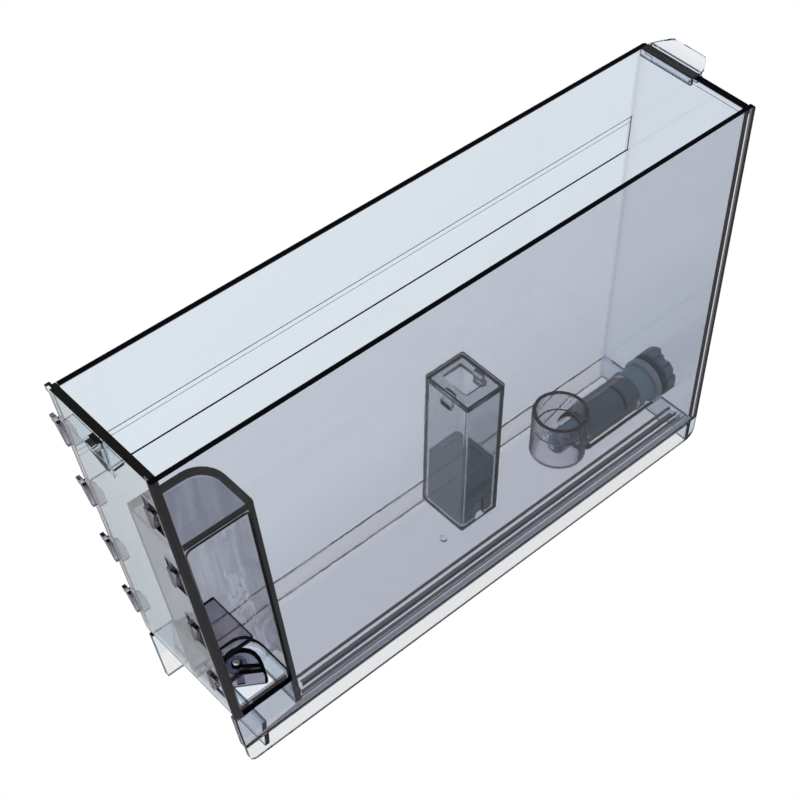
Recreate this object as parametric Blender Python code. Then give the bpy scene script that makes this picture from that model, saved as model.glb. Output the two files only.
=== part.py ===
"""Slide-in fresh water tank for a coffee machine.

Clear smoked plastic: a moulded shell, a flat side plate and a raked front
plate are welded into one tall, narrow, open-topped box.  The front plate
carries eight snap clips for a trim cover, the side plate has the window of a
finger pocket, and a float column and a valved outlet stand on the floor.

Frame: +Z up, the front faces -Y, the long side plate faces +X, and the skirt
stands on Z = 0.  Sizes are in millimetres, mesh coordinates in metres.  The
pieces are drawn with the outlet axis at X = 0; the last step moves the middle
of the overall box, at the base plane, to the origin.
"""

import math

import bmesh
import bpy
from mathutils import Matrix, Vector

# ------------------------------------------------------------ driving sizes
MM = 0.001
GAP = 0.3  # clearance between neighbouring pieces
WALL = 2.6
HEIGHT = 216.0  # base plane to rim
X_LEFT = -32.3  # outer face of the left wall
X_LEFT_IN = X_LEFT + WALL
X_SEAM = 29.45  # shell edges that the side plate is welded to
X_PLATE = X_SEAM + GAP  # inner face of the side plate
X_RIGHT = 32.25  # outer face of the side plate
Y_FRONT_RIM = -163.84  # front plate, outer face at the rim
RAKE = 0.1455  # shift of the front towards the rear per millimetre of drop
FRONT_THICK = 3.84
Y_REAR_IN = 160.0  # rear wall, inner face
Y_REAR_OUT = 163.2
Y_PLATE_REAR = 166.0  # the side plate overhangs the rear wall
FLOOR_TOP = 18.6
FLOOR_UNDER = 15.6
STEP_TOP = 39.8  # the shallow floor behind the front plate
STEP_UNDER = 36.7
Y_STEP = -121.2  # where the shallow floor drops to the main floor
SEAM_Z = 14.4  # lower edge of the side plate
ORIGIN_SHIFT = (3.625, -2.9464, 0.0)

POCKET_TOP, POCKET_ROOF = 172.2, 168.0
POCKET_FLOOR, POCKET_UNDER = 39.5, STEP_UNDER
POCKET_X = 0.0  # left side of the pocket's hull
POCKET_REAR_Y = -122.4  # rear face of the pocket at the height of POCKET_TOP
POCKET_REAR_SLOPE = 0.118  # its shift towards the rear per millimetre of drop

VALVE_Z = 24.6  # height of the outlet axis, which runs along Y at X = 0
TUBE_END = 143.0  # rear end of the outlet tube
CLIP_PITCH = 41.3
CLIP_Z = [191.5 - CLIP_PITCH * row for row in range(4)]  # catch height of each clip pair
CLIP_RIGHT_X = 20.05  # face that the right-hand clips stand on
KEEPER_X, KEEPER_Y = 10.4, -120.8  # screw axis of the keeper

# Cutters run past the tank to these planes.
PAST_X, PAST_FRONT, PAST_REAR = 60, -220, 220
ABOVE, BELOW = 240, -20

# Mesh cleaning, in metres, and the smallest angle that is shaded as an edge.
DRAWN_WELD = 1e-7
BOOLEAN_WELD = 3e-6
DEGENERATE = 1e-6
SHARP_ANGLE = math.radians(32)

UNION, CUT = "UNION", "DIFFERENCE"


def y_front(z):
    """Outer face of the raked front at height z."""
    return Y_FRONT_RIM + RAKE * (HEIGHT - z)


def y_pocket(z):
    """Rear face of the finger pocket at height z."""
    return POCKET_REAR_Y + POCKET_REAR_SLOPE * (POCKET_TOP - z)


def clear_scene():
    for thing in list(bpy.data.objects):
        bpy.data.objects.remove(thing, do_unlink=True)


clear_scene()


# ------------------------------------------------------------ materials
REFRACTION = 1.55


def material(name, colour, roughness, metallic=0.0, transmission=0.0):
    mat = bpy.data.materials.new(name)
    mat.use_nodes = True
    inputs = mat.node_tree.nodes["Principled BSDF"].inputs
    inputs["Base Color"].default_value = (*colour, 1.0)
    inputs["Roughness"].default_value = roughness
    inputs["Metallic"].default_value = metallic
    inputs["Transmission Weight"].default_value = transmission
    inputs["IOR"].default_value = REFRACTION
    return mat


def clear_plastic(name, roughness):
    return material(name, (0.62, 0.66, 0.72), roughness, transmission=0.9)


def smoked_plastic(name, roughness, transmission):
    return material(name, (0.36, 0.36, 0.44), roughness, transmission=transmission)


def dark_plastic(name):
    return material(name, (0.055, 0.07, 0.085), roughness=0.45)


SHELL_CLEAR = clear_plastic("shell_clear", roughness=0.06)
SIDE_CLEAR = clear_plastic("side_clear", roughness=0.05)
FRONT_CLEAR = clear_plastic("front_clear", roughness=0.07)
TAB_CLEAR = clear_plastic("tab_clear", roughness=0.08)
CAGE_CLEAR = clear_plastic("cage_clear", roughness=0.06)
CLIP_SMOKED = smoked_plastic("clip_smoked", roughness=0.12, transmission=0.8)
RETAINER_CLEAR = smoked_plastic("retainer_clear", roughness=0.1, transmission=0.8)
SOCKET_CLEAR = smoked_plastic("socket_clear", roughness=0.07, transmission=0.85)
VALVE_DARK = dark_plastic("valve_dark")
LOCK_DARK = dark_plastic("lock_dark")
NUT_DARK = material("nut_dark", (0.03, 0.035, 0.04), roughness=0.4)
SEAL_RUBBER = material("seal_rubber", (0.02, 0.02, 0.022), roughness=0.6)
FLOAT_GREY = material("float_grey", (0.16, 0.19, 0.22), roughness=0.5)
MAGNET = material("magnet", (0.08, 0.08, 0.085), roughness=0.4, metallic=0.7)
PLUNGER_STEEL = material("plunger_steel", (0.5, 0.5, 0.5), roughness=0.25, metallic=1.0)
SPRING_STEEL = material("spring_steel", (0.6, 0.6, 0.6), roughness=0.22, metallic=1.0)
SCREW_STEEL = material("screw_steel", (0.55, 0.55, 0.56), roughness=0.3, metallic=1.0)
KEEPER_SMOKED = material("keeper_smoked", (0.12, 0.1, 0.16), roughness=0.3, transmission=0.3)


# ------------------------------------------------------------ mesh helpers
def mesh_object(name, bm):
    bmesh.ops.remove_doubles(bm, verts=bm.verts, dist=DRAWN_WELD)
    bmesh.ops.recalc_face_normals(bm, faces=bm.faces)
    mesh = bpy.data.meshes.new(name)
    bm.to_mesh(mesh)
    bm.free()
    obj = bpy.data.objects.new(name, mesh)
    bpy.context.scene.collection.objects.link(obj)
    return obj


def loft(name, rings):
    """A closed body through rings of equal point count, capped at both ends."""
    bm = bmesh.new()
    rows = [[bm.verts.new(Vector(point) * MM) for point in ring] for ring in rings]
    count = len(rows[0])
    for low, high in zip(rows, rows[1:]):
        for i in range(count):
            j = (i + 1) % count
            bm.faces.new((low[i], low[j], high[j], high[i]))
    bm.faces.new(list(reversed(rows[0])))
    bm.faces.new(rows[-1])
    return mesh_object(name, bm)


def prism_x(name, outline, x0, x1):
    """An outline of (y, z) points extruded from x0 to x1."""
    return loft(name, [[(x, y, z) for y, z in outline] for x in (x0, x1)])


def prism_y(name, outline, y0, y1):
    """An outline of (x, z) points extruded from y0 to y1."""
    return loft(name, [[(x, y, z) for x, z in outline] for y in (y0, y1)])


def prism_z(name, outline, z0, z1):
    """An outline of (x, y) points extruded from z0 to z1."""
    return loft(name, [[(x, y, z) for x, y in outline] for z in (z0, z1)])


def raked_prism(name, outline, x0, x1):
    """(dy, z) points, with dy counted from the outer face of the front."""
    return prism_x(name, [(y_front(z) + dy, z) for dy, z in outline], x0, x1)


def box(name, x_span, y_span, z_span):
    (x0, x1), (y0, y1) = x_span, y_span
    return prism_z(name, [(x0, y0), (x1, y0), (x1, y1), (x0, y1)], *z_span)


def circle(cx, cy, radius, count=48):
    angles = [2 * math.pi * i / count for i in range(count)]
    return [(cx + radius * math.cos(a), cy + radius * math.sin(a)) for a in angles]


def cylinder_z(name, cx, cy, radius, z0, z1, count):
    return prism_z(name, circle(cx, cy, radius, count), z0, z1)


def rod_y(name, radius, y0, y1, count=48):
    """A cylinder on the outlet axis."""
    return prism_y(name, circle(0.0, VALVE_Z, radius, count), y0, y1)


def turned_y(name, profile, count=48):
    """A body turned about the outlet axis: (radius, y) points, front to rear."""
    rings = [[(x, y, z) for x, z in circle(0.0, VALVE_Z, radius, count)] for radius, y in profile]
    return loft(name, rings)


def radial_box(name, half_width, y_span, radii, degrees):
    """A box between two distances from the outlet axis, turned about that axis."""
    obj = box(name, (-half_width, half_width), y_span, radii)
    turn = Matrix.Rotation(math.radians(degrees), 4, "Y")
    obj.data.transform(Matrix.Translation((0, 0, VALVE_Z * MM)) @ turn)
    return obj


def rounded(outline, radii, steps=5):
    """The outline with its corners rounded, one radius for each corner."""
    out = []
    count = len(outline)
    for i, radius in enumerate(radii):
        here = Vector(outline[i])
        if radius <= 0:
            out.append(tuple(here))
            continue
        before = (Vector(outline[i - 1]) - here).normalized()
        after = (Vector(outline[(i + 1) % count]) - here).normalized()
        half = before.angle(after) / 2
        reach = radius / math.tan(half)
        centre = here + (before + after).normalized() * (radius / math.sin(half))
        start = here + before * reach - centre
        end = here + after * reach - centre
        turn = start.angle_signed(end)
        for k in range(steps + 1):
            angle = -turn * k / steps
            cos, sin = math.cos(angle), math.sin(angle)
            x = centre.x + start.x * cos - start.y * sin
            y = centre.y + start.x * sin + start.y * cos
            out.append((x, y))
    return out


def combine(base, steps):
    """Boolean steps, each (operation, object), worked into the base mesh."""
    for operation, other in steps:
        mod = base.modifiers.new(operation.lower(), "BOOLEAN")
        mod.operation = operation
        mod.solver = "EXACT"
        mod.object = other
    bpy.context.view_layer.update()
    graph = bpy.context.evaluated_depsgraph_get()
    baked = bpy.data.meshes.new_from_object(base.evaluated_get(graph))
    base.modifiers.clear()
    tidy = bmesh.new()
    tidy.from_mesh(baked)
    bmesh.ops.remove_doubles(tidy, verts=tidy.verts, dist=BOOLEAN_WELD)
    bmesh.ops.dissolve_degenerate(tidy, dist=DEGENERATE, edges=tidy.edges)
    tidy.to_mesh(baked)
    tidy.free()
    base.data = baked
    for _, other in steps:
        bpy.data.objects.remove(other, do_unlink=True)
    bpy.context.view_layer.update()
    return base


def finish(obj, mat):
    obj.data.materials.clear()
    obj.data.materials.append(mat)
    obj.data.shade_smooth()
    obj.data.set_sharp_from_angle(angle=SHARP_ANGLE)
    return obj


# ------------------------------------------------------------ tank shell
X_LEDGE_IN = 26.9  # inner face of the thick ledge at the foot of the right side
LEDGE_UNDER = 11.4
X_SKIRT_IN = 29.6  # inner face of the right skirt, below the ledge
Y_RIB = Y_STEP - WALL  # front face of the rib below the floor step
POCKET_RADIUS = 10.0
POCKET_REAR_WALL = 3.0
SHELF_Z, SHELF_REAR = (83.0, 86.4), -124.0
TROUGH_IN, TROUGH_OUT = 11.3, 13.8  # radii
TROUGH_BRIM = 17.4  # the trough keeps only the arc below this height
WALL_HOLE = 8.9
GUTTER_X, GUTTER_Y, GUTTER_WALL = (17.3, 24.9), (-97.6, 159.6), 1.6
STUB_X, STUB_Y = 5.0, 9.0


def shell_wall_steps():
    """Hollow the block from above and below and trim its right and rear faces."""
    seat_z = SEAM_Z - GAP
    rear_outline = [
        (-PAST_X, BELOW), (28.8, BELOW), (28.8, seat_z),
        (PAST_X, seat_z), (PAST_X, ABOVE), (-PAST_X, ABOVE),
    ]
    water_outline = [
        (PAST_FRONT, ABOVE), (Y_REAR_IN, ABOVE), (Y_REAR_IN, FLOOR_TOP),
        (Y_STEP, FLOOR_TOP), (Y_STEP, STEP_TOP), (PAST_FRONT, STEP_TOP),
    ]
    rear_y, front_y = (Y_STEP, Y_REAR_IN), (PAST_FRONT, Y_RIB)
    under_x, skirt_x = (X_LEFT_IN, X_LEDGE_IN), (20, X_SKIRT_IN)
    return [
        (CUT, box("plate_seat", (X_SEAM, PAST_X), (PAST_FRONT, PAST_REAR), (seat_z, ABOVE))),
        (CUT, prism_y("rear_face", rear_outline, Y_REAR_OUT, 200)),
        (CUT, prism_x("water", water_outline, X_LEFT_IN, PAST_X)),
        (CUT, box("under_rear", under_x, rear_y, (BELOW, FLOOR_UNDER))),
        (CUT, box("skirt_rear", skirt_x, rear_y, (BELOW, LEDGE_UNDER))),
        (CUT, box("skirt_front", skirt_x, front_y, (BELOW, LEDGE_UNDER))),
    ]


def pocket_plan(z, x0, x1, y0, y1, radius):
    """A rectangle at height z whose rear left corner is rounded."""
    corners = [(x1, y0), (x0, y0), (x0, y1), (x1, y1)]
    return [(x, y, z) for x, y in rounded(corners, [0, 0, radius, 0], 7)]


def pocket_hull():
    outer_radius = POCKET_RADIUS + WALL
    return loft("hull", [
        pocket_plan(z, POCKET_X, X_SEAM, -172.0, y_pocket(z) + POCKET_REAR_WALL, outer_radius)
        for z in (FLOOR_UNDER, POCKET_TOP)
    ])


def pocket_room():
    """The finger space, slightly narrower near its floor."""
    left = POCKET_X + WALL
    # (height, inset from the walls)
    stations = ((POCKET_FLOOR, 0.5), (45.2, 0.35), (47.4, 0.0), (POCKET_ROOF, 0.0))
    return loft("pocket", [
        pocket_plan(z, left + inset, PAST_X, PAST_FRONT, y_pocket(z) - inset, POCKET_RADIUS)
        for z, inset in stations
    ])


def pocket_well():
    """The hollow below the pocket floor, interrupted by the cross rib."""
    well = loft("well", [
        pocket_plan(z, POCKET_X + WALL, X_LEDGE_IN, PAST_FRONT, y_pocket(z), 6.0)
        for z in (BELOW, POCKET_UNDER)
    ])
    return combine(well, [(CUT, box("cross_rib", (-10, 40), (Y_RIB, Y_STEP), (-40, 20.0)))])


def foot_round():
    """Rounds the front lower corner of the right skirt."""
    corner = [(y_front(60), 60.0), (y_front(0), 0.0), (y_front(0) + 60, 0.0)]
    arc = rounded(corner, [0, 4.6, 0], 8)[1:-1]
    ahead = y_front(0) - 8
    outline = arc + [(arc[-1][0], -5.0), (ahead, -5.0), (ahead, arc[0][1])]
    return prism_x("foot_round", outline, 26.0, PAST_X)


def front_clearance():
    """Everything ahead of the shell, with room for the front plate above."""
    back = FRONT_THICK + GAP
    seat_z = STEP_UNDER - GAP
    outline = [
        (-300, ABOVE), (y_front(ABOVE) + back, ABOVE), (y_front(seat_z) + back, seat_z),
        (y_front(seat_z), seat_z), (y_front(BELOW), BELOW), (-300, BELOW),
    ]
    return prism_x("front_clear", outline, -PAST_X, PAST_X)


def shell_pocket_steps():
    under_front_z = (BELOW, STEP_UNDER)
    return [
        (UNION, pocket_hull()),
        (CUT, box("under_front", (X_LEFT_IN, X_LEDGE_IN), (PAST_FRONT, Y_RIB), under_front_z)),
        (CUT, pocket_room()),
        (CUT, pocket_well()),
        (CUT, box("rib_foot", (X_LEFT_IN, X_SKIRT_IN), (-130, -110), (BELOW, 3.0))),
        (CUT, cylinder_z("keeper_hole", KEEPER_X, KEEPER_Y, 1.4, 30.0, 42.0, 24)),
        (CUT, foot_round()),
        (UNION, box("shelf", (1.0, X_SEAM), (-171.0, SHELF_REAR), SHELF_Z)),
        (CUT, front_clearance()),
    ]


def shell_outlet_steps():
    """A trough in the floor below the outlet tube, and the hole in the rear wall."""
    ring = circle(0.0, VALVE_Z, TROUGH_OUT, 64)
    arc = sorted((p for p in ring if p[1] < TROUGH_BRIM), key=lambda p: p[0])
    return [
        (UNION, prism_y("trough", arc, 105.6, 161.5)),
        (CUT, rod_y("trough_cut", TROUGH_IN, 107.6, Y_REAR_IN, 56)),
        (CUT, rod_y("lock_room", 12.5, 153.4, Y_REAR_IN, 56)),
        (CUT, rod_y("wall_hole", WALL_HOLE, 150, 180)),
    ]


def shell_detail_steps():
    """Floor gutter, band recess in the left wall, floor stub and rim bead."""
    gutter_in_x = (GUTTER_X[0] + GUTTER_WALL, GUTTER_X[1] - GUTTER_WALL)
    gutter_in_y = (GUTTER_Y[0] + GUTTER_WALL, GUTTER_Y[1] - GUTTER_WALL)
    band_x = (X_LEFT_IN - 0.9, X_LEFT_IN + 0.6)
    bead_x = (X_LEFT + 0.2, X_SEAM - 0.2)
    return [
        (UNION, box("gutter", GUTTER_X, GUTTER_Y, (12.0, 17.0))),
        (CUT, box("gutter_cut", gutter_in_x, gutter_in_y, (13.8, 30.0))),
        (CUT, box("band", band_x, (PAST_FRONT, 159.5), (157.6, 177.8))),
        (UNION, cylinder_z("stub", STUB_X, STUB_Y, 1.7, 17.0, 20.0, 20)),
        (CUT, cylinder_z("stub_dimple", STUB_X, STUB_Y, 0.8, 19.2, 22.0, 16)),
        (UNION, box("rim_bead", bead_x, (161.8, 164.2), (211.6, HEIGHT - 0.2))),
    ]


def build_shell():
    outer = [(-175.0, HEIGHT), (Y_PLATE_REAR, HEIGHT), (Y_PLATE_REAR, 0.0), (-175.0, 0.0)]
    shell = prism_x("tank_shell", rounded(outer, [0, 0, 6.5, 0]), X_LEFT, X_RIGHT)
    steps = shell_wall_steps() + shell_pocket_steps() + shell_outlet_steps() + shell_detail_steps()
    finish(combine(shell, steps), SHELL_CLEAR)


# ------------------------------------------------------------ side plate
def build_side_plate():
    outline = [
        (y_front(HEIGHT), HEIGHT), (Y_PLATE_REAR, HEIGHT),
        (Y_PLATE_REAR, SEAM_Z), (y_front(SEAM_Z), SEAM_Z),
    ]
    side = prism_x("side_plate", rounded(outline, [0.0, 1.2, 0.0, 0.0], 3), X_PLATE, X_RIGHT)
    opening = [
        (y_front(POCKET_ROOF) + FRONT_THICK, POCKET_ROOF),
        (y_pocket(POCKET_ROOF), POCKET_ROOF),
        (y_pocket(POCKET_FLOOR), POCKET_FLOOR),
        (y_front(POCKET_FLOOR) + FRONT_THICK, POCKET_FLOOR),
    ]
    window = prism_x("window", rounded(opening, [2.5, 2.5, 1.6, 1.2], 4), 20, 40)
    finish(combine(side, [(CUT, window)]), SIDE_CLEAR)


# ------------------------------------------------------------ front plate
# Outlines of (dy, z), with dy counted from the outer face of the front.
FRONT_OUTLINE = [
    (0, HEIGHT), (FRONT_THICK, HEIGHT), (FRONT_THICK, STEP_UNDER), (2.6, STEP_UNDER),
    (1.2, 37.9), (0.3, 40.2), (0, 43.0),
]
CORNER_LIP = [(0, 212.6), (0, HEIGHT), (2.4, HEIGHT), (2.4, 212.6)]
CATCH_RIB = [
    (1.0, HEIGHT - 1), (-4.6, HEIGHT - 1.6), (-4.2, HEIGHT - 6),
    (-0.6, HEIGHT - 24), (1.0, HEIGHT - 24),
]
CATCH_BLADE = [
    (1.0, HEIGHT - 1.4), (-4.6, HEIGHT - 2.2), (-4.6, HEIGHT - 3.6), (1.0, HEIGHT - 3.0),
]
CATCH_CORE = [(-0.2, HEIGHT - 7), (-6.0, HEIGHT - 7), (-6.0, HEIGHT - 30), (-0.2, HEIGHT - 30)]


def clip_seat(row, catch_z):
    """The recess that a right-hand clip stands in."""
    top, foot = catch_z + 6.8, catch_z - 13.0
    outline = [(-1, top), (-1, foot), (3.2, foot), (3.2, top)]
    return raked_prism(f"clip_seat_{row}", outline, CLIP_RIGHT_X - GAP, CLIP_RIGHT_X + 8.2)


def build_front_plate():
    front = raked_prism("front_plate", FRONT_OUTLINE, X_LEFT, X_SEAM)
    steps = [
        (UNION, raked_prism("corner_lip", CORNER_LIP, -34.1, -31.0)),
        # the catch at the rim: a central rib, hollow below, and a thin cross blade
        (UNION, raked_prism("catch_rib", CATCH_RIB, -3.25, 2.15)),
        (UNION, raked_prism("catch_blade", CATCH_BLADE, -16.2, 15.6)),
        (CUT, raked_prism("catch_core", CATCH_CORE, -2.0, 0.9)),
    ]
    steps += [(CUT, clip_seat(row, catch_z)) for row, catch_z in enumerate(CLIP_Z)]
    finish(combine(front, steps), FRONT_CLEAR)


# ------------------------------------------------------------ snap clips
# Tapered blocks of the barb: the (dy) span, the side nearest the seat, and
# stations of (dz, far side), from the foot up.
BARB_WEDGE = ((-0.8, 2.2), 1.2, ((-12.2, 2.7), (-0.9, 5.8), (-0.1, 5.8)))
BARB_LIP = ((-0.95, 0.9), 4.2, ((-1.2, 6.1), (1.0, 7.2), (2.0, 7.2)))
BARB_HOLLOW = ((1.15, 1.75), 2.4, ((-9.0, 2.8), (-1.4, 4.6), (3.0, 4.6)))


def clip_mesh(name, side_sign, depth):
    """A side ear with a ramped barb, drawn about its catch."""

    def at(out, dy, dz):
        """A point at a distance out from the clip's seat, on the raked front."""
        return (side_sign * out, dy - RAKE * dz, dz)

    def taper(label, y_span, near, stations):
        y0, y1 = y_span
        return loft(name + label, [
            [at(near, y0, dz), at(far, y0, dz), at(far, y1, dz), at(near, y1, dz)]
            for dz, far in stations
        ])

    ear = [
        (-1.0, -12.5), (depth, -12.5), (depth, -3.5), (depth * 0.84, 1.6),
        (min(depth * 0.7, 3.4), 6.5), (0.9, 6.5), (0.6, 0.6), (-1.0, 0.2),
    ]  # (dy, dz)
    part = loft(name, [[at(out, dy, dz) for dy, dz in ear] for out in (GAP, 2.0)])
    combine(part, [
        (UNION, taper("_wedge", *BARB_WEDGE)),
        (UNION, taper("_lip", *BARB_LIP)),
        (CUT, taper("_hollow", *BARB_HOLLOW)),
    ])
    mesh = finish(part, CLIP_SMOKED).data
    bpy.data.objects.remove(part, do_unlink=True)
    return mesh


def build_clips():
    """Four clips on each side; the clips of one side share a mesh."""
    # side, direction away from the seat, ear depth, seat
    for side, sign, depth, seat_x in (
        ("left", -1.0, 8.0, X_LEFT),
        ("right", 1.0, 2.8, CLIP_RIGHT_X),
    ):
        shape = clip_mesh(f"clip_{side}", sign, depth)
        for row, catch_z in enumerate(CLIP_Z, 1):
            clip = bpy.data.objects.new(f"cover_clip_{side}_{row}", shape)
            clip.location = Vector((seat_x, y_front(catch_z), catch_z)) * MM
            bpy.context.scene.collection.objects.link(clip)


# ------------------------------------------------------------ rear grip tab
TAB_X0, TAB_X1 = -29.2, 1.4
TAB_Y = 164.0  # the tab's corners are trimmed from here rearwards
TAB_OUTLINE = [  # (y, z)
    (157.9, 213.2), (159.6, 213.2), (159.6, 216.3), (164.5, 216.3), (164.5, 209.6),
    (166.0, 209.6), (166.0, 215.7), (168.3, 215.7), (171.4, 216.2), (174.1, 217.3),
    (173.7, 218.6), (171.2, 217.6), (168.3, 217.2), (157.9, 217.2),
]
TAB_CORNER_LEFT = [  # (x, y)
    (-32.0, TAB_Y), (TAB_X0, TAB_Y), (-27.9, 168.0), (-26.3, 170.6), (-24.2, 172.8),
    (-21.4, 174.5), (-21.4, 182), (-32.0, 182),
]
TAB_CORNER_RIGHT = [  # (x, y)
    (4.0, TAB_Y), (4.0, 182), (-4.6, 182), (-4.6, 174.4), (-3.4, 172.9), (-1.8, 170.9),
    (0.0, 168.3), (TAB_X1, TAB_Y),
]


def build_grip_tab():
    tab = prism_x("rear_grip_tab", TAB_OUTLINE, TAB_X0, TAB_X1)
    # the hanging lip is shortened at both ends
    lip_y, lip_z = (TAB_Y, 166.6), (200, 212.4)
    steps = [
        (CUT, prism_z("corner_left", TAB_CORNER_LEFT, 214.8, 226)),
        (CUT, prism_z("corner_right", TAB_CORNER_RIGHT, 214.8, 226)),
        (CUT, box("lip_left", (TAB_X0 - 1, TAB_X0 + 4.0), lip_y, lip_z)),
        (CUT, box("lip_right", (TAB_X1 - 4.0, TAB_X1 + 1), lip_y, lip_z)),
    ]
    finish(combine(tab, steps), TAB_CLEAR)


# ------------------------------------------------------------ float column
CAGE_X, CAGE_Y = -7.1, 30.8
CAGE_HALF_X, CAGE_HALF_Y = 28.9 / 2, 24.2 / 2
CAGE_WALL = 2.1
BORE_HALF_X, BORE_HALF_Y = CAGE_HALF_X - CAGE_WALL, CAGE_HALF_Y - CAGE_WALL
CAGE_Z0, CAGE_Z1, CAGE_CAP = FLOOR_TOP + GAP, 103.4, 106.0
TONGUE_THICK = 1.4
FLOAT_HALF_X, FLOAT_HALF_Y = 24.0 / 2, 19.3 / 2
FLOAT_Z0, FLOAT_Z1 = 20.9, 57.5


def column_plan(half_x, half_y, radius, steps, shift_x=0.0):
    """A rounded rectangle about the column's axis."""
    x0, x1 = CAGE_X + shift_x - half_x, CAGE_X + shift_x + half_x
    y0, y1 = CAGE_Y - half_y, CAGE_Y + half_y
    return rounded([(x0, y0), (x1, y0), (x1, y1), (x0, y1)], [radius] * 4, steps)


def around(centre, half):
    return (centre - half, centre + half)


def build_cage():
    cage = prism_z("float_cage", column_plan(CAGE_HALF_X, CAGE_HALF_Y, 1.2, 3), CAGE_Z0, CAGE_Z1)
    bore = column_plan(BORE_HALF_X, BORE_HALF_Y, 0.6, 2)
    steps = [(CUT, prism_z("cage_bore", bore, CAGE_Z0 + 1.6, 130))]
    for sign in (-1, 1):
        inlet_x = around(CAGE_X + sign * CAGE_HALF_X, 3.2)
        latch_y = around(CAGE_Y + sign * CAGE_HALF_Y, 3.2)
        steps += [
            (CUT, box("inlet", inlet_x, around(CAGE_Y, 3.0), (20.5, 33.0))),
            (CUT, box("latch_hole", around(CAGE_X, 3.4), latch_y, (96.1, 99.5))),
        ]
    steps.append((CUT, box("drain", around(CAGE_X, 3.0), around(CAGE_Y, 6), (15, 21))))
    finish(combine(cage, steps), CAGE_CLEAR)


def build_retainer():
    """The cap of the cage, with two tongues whose noses enter the latch holes."""
    plan = column_plan(CAGE_HALF_X, CAGE_HALF_Y, 1.2, 3)
    retainer = prism_z("float_retainer", plan, CAGE_Z1 + GAP, CAGE_CAP)
    opening = column_plan(8.2, 6.2, 1.0, 2, shift_x=-1.0)
    steps = [(CUT, prism_z("opening", opening, 100, 110))]
    for sign in (-1, 1):
        outer = CAGE_Y + sign * (BORE_HALF_Y - GAP)
        inner = CAGE_Y + sign * (BORE_HALF_Y - GAP - TONGUE_THICK)
        tongue_y = sorted((outer, inner))
        nose_y = sorted((inner + sign * TONGUE_THICK / 2, CAGE_Y + sign * (CAGE_HALF_Y - 1.2)))
        steps += [
            (UNION, box("tongue", around(CAGE_X, 3.0), tongue_y, (96.4, 104.4))),
            (UNION, box("nose", around(CAGE_X, 2.8), nose_y, (96.7, 99.1))),
        ]
    finish(combine(retainer, steps), RETAINER_CLEAR)


def build_float():
    side = column_plan(FLOAT_HALF_X, FLOAT_HALF_Y, 1.5, 3)
    top = column_plan(FLOAT_HALF_X - 1.4, FLOAT_HALF_Y - 1.4, 1.2, 3)
    stations = ((side, FLOAT_Z0), (side, FLOAT_Z1 - 1.6), (top, FLOAT_Z1))
    floater = loft("float", [[(x, y, z) for x, y in plan] for plan, z in stations])
    dish = column_plan(FLOAT_HALF_X - 4.4, FLOAT_HALF_Y - 4.4, 1.0, 2)
    steps = [
        (CUT, cylinder_z("magnet_hole", CAGE_X, CAGE_Y, 4.4, FLOAT_Z0 - 5, FLOAT_Z0 + 8.0, 32)),
        (CUT, prism_z("top_dish", dish, FLOAT_Z1 - 1.4, FLOAT_Z1 + 4)),
    ]
    return finish(combine(floater, steps), FLOAT_GREY)


def build_magnet():
    z0, z1 = FLOAT_Z0 + 0.9, FLOAT_Z0 + 7.6
    return finish(cylinder_z("float_magnet", CAGE_X, CAGE_Y, 4.0, z0, z1, 32), MAGNET)


# ------------------------------------------------------------ filter socket
SOCKET_Y = 92.8  # centre of the upright socket
SOCKET_RADIUS, SOCKET_BORE, SOCKET_LEDGE = 14.4, 12.2, 11.2  # outside, above and below the ledge
SOCKET_Z0, SOCKET_LEDGE_Z, SOCKET_Z1 = FLOOR_TOP + GAP, 35.0, 45.8
TUBE_RADIUS, TUBE_BORE = 10.3, 8.0


def build_socket():
    """An upright cup with the outlet tube running from it to the rear."""
    rear = SOCKET_Y + SOCKET_RADIUS
    housing = cylinder_z("filter_socket", 0, SOCKET_Y, SOCKET_RADIUS, SOCKET_Z0, SOCKET_Z1, 64)
    tube_front = rod_y("tube_front", TUBE_RADIUS, SOCKET_Y + 8.0, rear + 1.6, 56)
    # the front of the tube stays above the main floor
    trim = box("trim", (-20, 20), (SOCKET_Y, rear + 3.0), (0, SOCKET_Z0 + 0.4))
    combine(tube_front, [(CUT, trim)])
    above, below = SOCKET_LEDGE_Z, SOCKET_LEDGE_Z + 1
    steps = [
        (UNION, tube_front),
        (UNION, rod_y("tube_rear", TUBE_RADIUS, rear + 1.0, TUBE_END, 56)),
        (CUT, cylinder_z("upper", 0, SOCKET_Y, SOCKET_BORE, above, 60, 56)),
        (CUT, cylinder_z("lower", 0, SOCKET_Y, SOCKET_LEDGE, 10, below, 56)),
        (CUT, rod_y("bore", TUBE_BORE, SOCKET_Y + 2, TUBE_END + 5)),
    ]
    finish(combine(housing, steps), SOCKET_CLEAR)


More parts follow.
